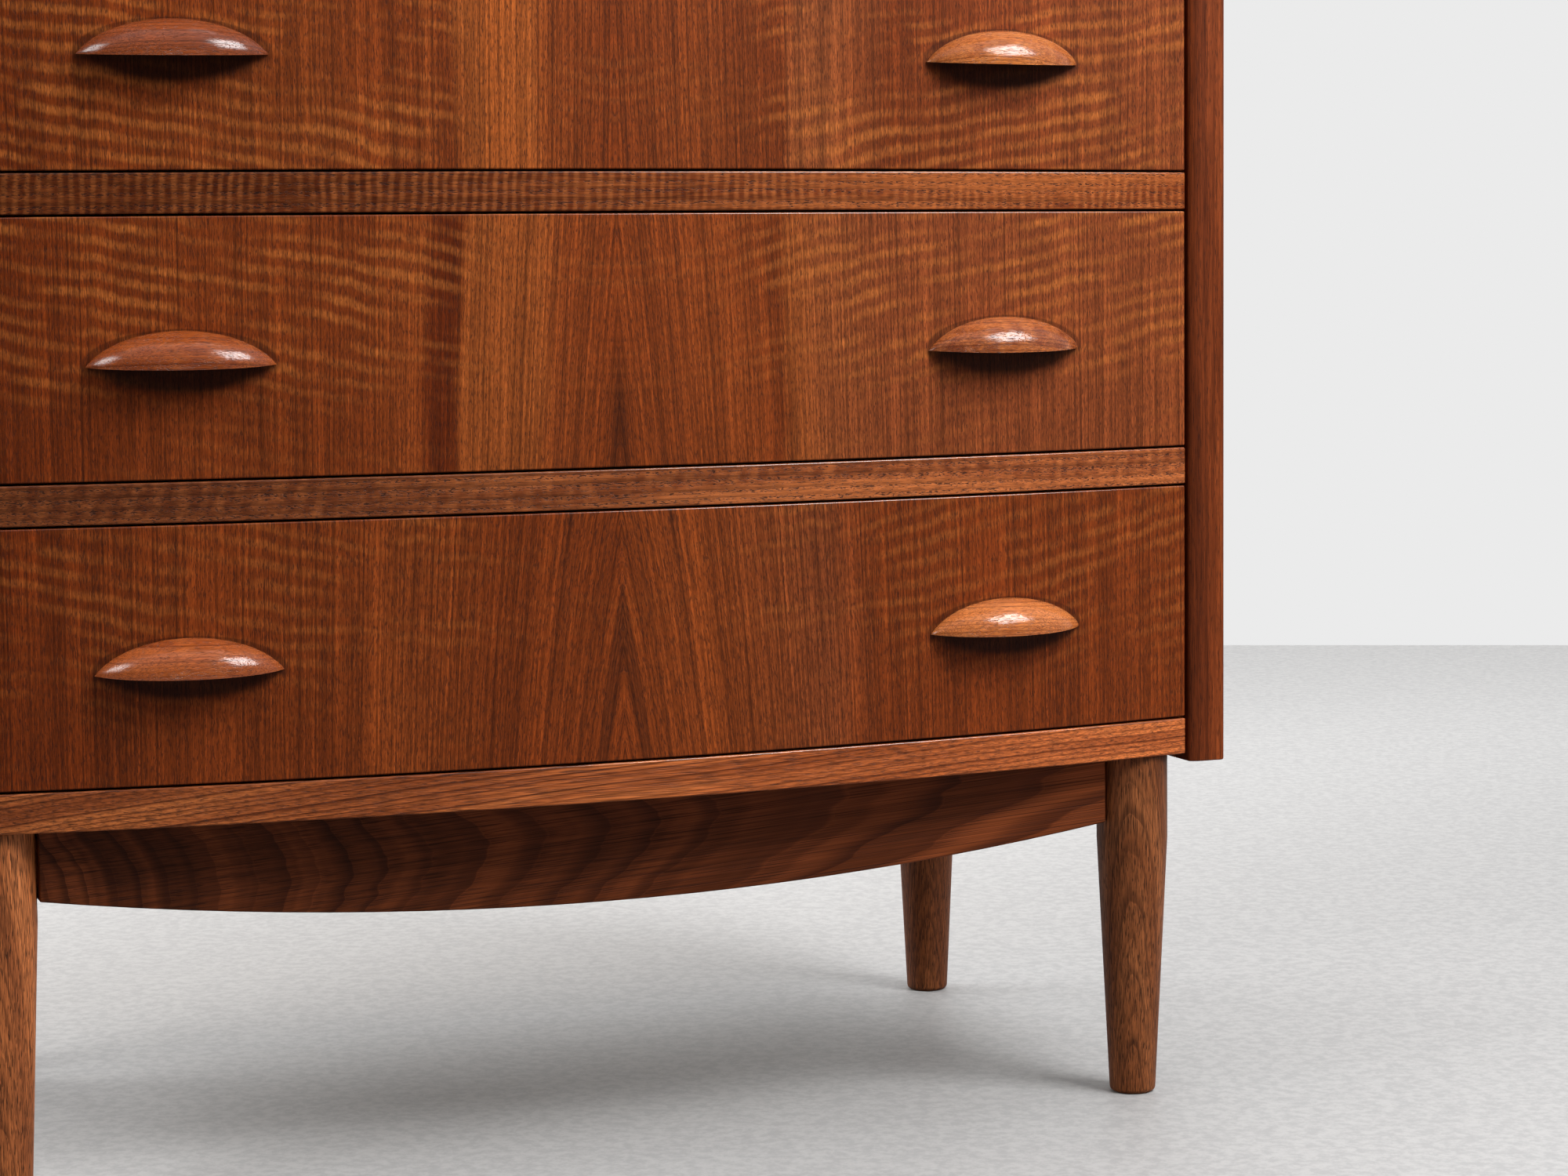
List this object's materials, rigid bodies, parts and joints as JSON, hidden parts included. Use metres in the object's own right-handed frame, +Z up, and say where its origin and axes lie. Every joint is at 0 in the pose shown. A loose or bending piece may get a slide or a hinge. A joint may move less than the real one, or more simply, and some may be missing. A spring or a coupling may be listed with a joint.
{
  "type": "bow front chest of drawers",
  "caption": "Bow-fronted wooden chest of drawers with bowed rails, crescent lip pulls, raised side lippings and round tapered legs joined by aprons.",
  "frame": {"origin": "on the floor under the middle of the chest's width and overall depth, bow and handles included", "axes": "+Z up, the drawers open toward -Y, +X to the right of someone facing the drawers"},
  "size_m": [0.794, 0.4132, 0.9],
  "materials": {
    "case_veneer": "satin oiled teak veneer",
    "front_veneer": "satin book-matched teak veneer, grain upright",
    "solid_teak": "satin solid teak",
    "handle_teak": "satin carved solid teak",
    "leg_wood": "satin stained hardwood",
    "drawer_wood": "plain sanded hardwood",
    "runner_wood": "plain waxed hardwood",
    "plywood": "plain plywood face"
  },
  "bodies": {
    "carcass": {"left_side_panel": "case_veneer", "right_side_panel": "case_veneer", "left_side_lipping": "solid_teak", "right_side_lipping": "solid_teak", "top_panel": "case_veneer", "top_lipping": "solid_teak", "bottom_panel": "plywood", "back_panel": "plywood", "rail_1": "solid_teak", "rail_2": "solid_teak", "rail_3": "solid_teak", "bottom_rail": "solid_teak", "left_runner_1": "runner_wood", "right_runner_1": "runner_wood", "left_runner_2": "runner_wood", "right_runner_2": "runner_wood", "left_runner_3": "runner_wood", "right_runner_3": "runner_wood", "left_wear_strip": "runner_wood", "right_wear_strip": "runner_wood", "left_front_leg": "leg_wood", "right_front_leg": "leg_wood", "left_back_leg": "leg_wood", "right_back_leg": "leg_wood", "front_apron": "solid_teak", "back_apron": "solid_teak", "left_side_apron": "solid_teak", "right_side_apron": "solid_teak", "left_front_corner_block": "runner_wood", "right_front_corner_block": "runner_wood", "left_back_corner_block": "runner_wood", "right_back_corner_block": "runner_wood"},
    "drawer_1": {"drawer_1_front": "front_veneer", "drawer_1_left_side": "drawer_wood", "drawer_1_right_side": "drawer_wood", "drawer_1_back": "drawer_wood", "drawer_1_bottom": "plywood", "drawer_1_left_handle": "handle_teak", "drawer_1_right_handle": "handle_teak"},
    "drawer_2": {"drawer_2_front": "front_veneer", "drawer_2_left_side": "drawer_wood", "drawer_2_right_side": "drawer_wood", "drawer_2_back": "drawer_wood", "drawer_2_bottom": "plywood", "drawer_2_left_handle": "handle_teak", "drawer_2_right_handle": "handle_teak"},
    "drawer_3": {"drawer_3_front": "front_veneer", "drawer_3_left_side": "drawer_wood", "drawer_3_right_side": "drawer_wood", "drawer_3_back": "drawer_wood", "drawer_3_bottom": "plywood", "drawer_3_left_handle": "handle_teak", "drawer_3_right_handle": "handle_teak"},
    "drawer_4": {"drawer_4_front": "front_veneer", "drawer_4_left_side": "drawer_wood", "drawer_4_right_side": "drawer_wood", "drawer_4_back": "drawer_wood", "drawer_4_bottom": "plywood", "drawer_4_left_handle": "handle_teak", "drawer_4_right_handle": "handle_teak"}
  },
  "joints": [
    {"name": "drawer_1_slide", "type": "slide", "parent": "carcass", "child": "drawer_1", "axis": [0, -1, 0], "range_m": [0, 0.28]},
    {"name": "drawer_2_slide", "type": "slide", "parent": "carcass", "child": "drawer_2", "axis": [0, -1, 0], "range_m": [0, 0.28]},
    {"name": "drawer_3_slide", "type": "slide", "parent": "carcass", "child": "drawer_3", "axis": [0, -1, 0], "range_m": [0, 0.28]},
    {"name": "drawer_4_slide", "type": "slide", "parent": "carcass", "child": "drawer_4", "axis": [0, -1, 0], "range_m": [0, 0.28]}
  ]
}
